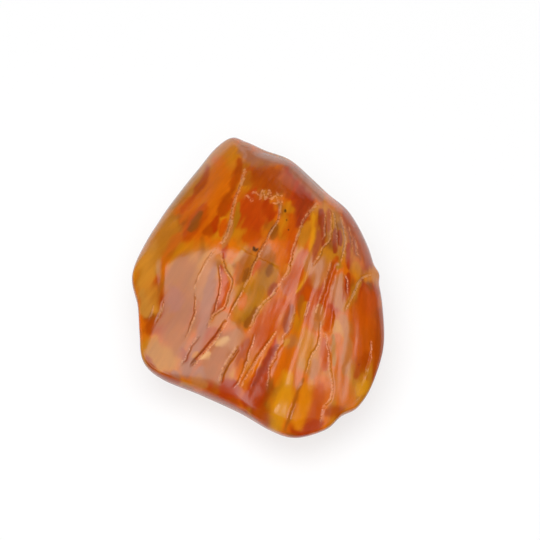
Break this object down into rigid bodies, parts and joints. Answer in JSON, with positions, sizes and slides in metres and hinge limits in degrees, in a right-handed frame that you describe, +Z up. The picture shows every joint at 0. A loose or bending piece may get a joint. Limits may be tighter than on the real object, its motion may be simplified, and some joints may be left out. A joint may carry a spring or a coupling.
{
  "type": "raw amber piece",
  "caption": "Raw amber pebble with a pointed end, a cracked and ledged upper face and a flat underside to rest on.",
  "frame": {"origin": "on the resting surface, under the middle of the pebble's box", "axes": "+Z up from the flat underside, +Y towards the pointed end, +X to the right of the cracked face"},
  "size_m": [0.0402, 0.0546, 0.0172],
  "materials": {
    "amber": "worn polish, see-through golden to cherry brown, IOR 1.54"
  },
  "bodies": {
    "root": {"amber_piece": "amber"}
  },
  "joints": []
}
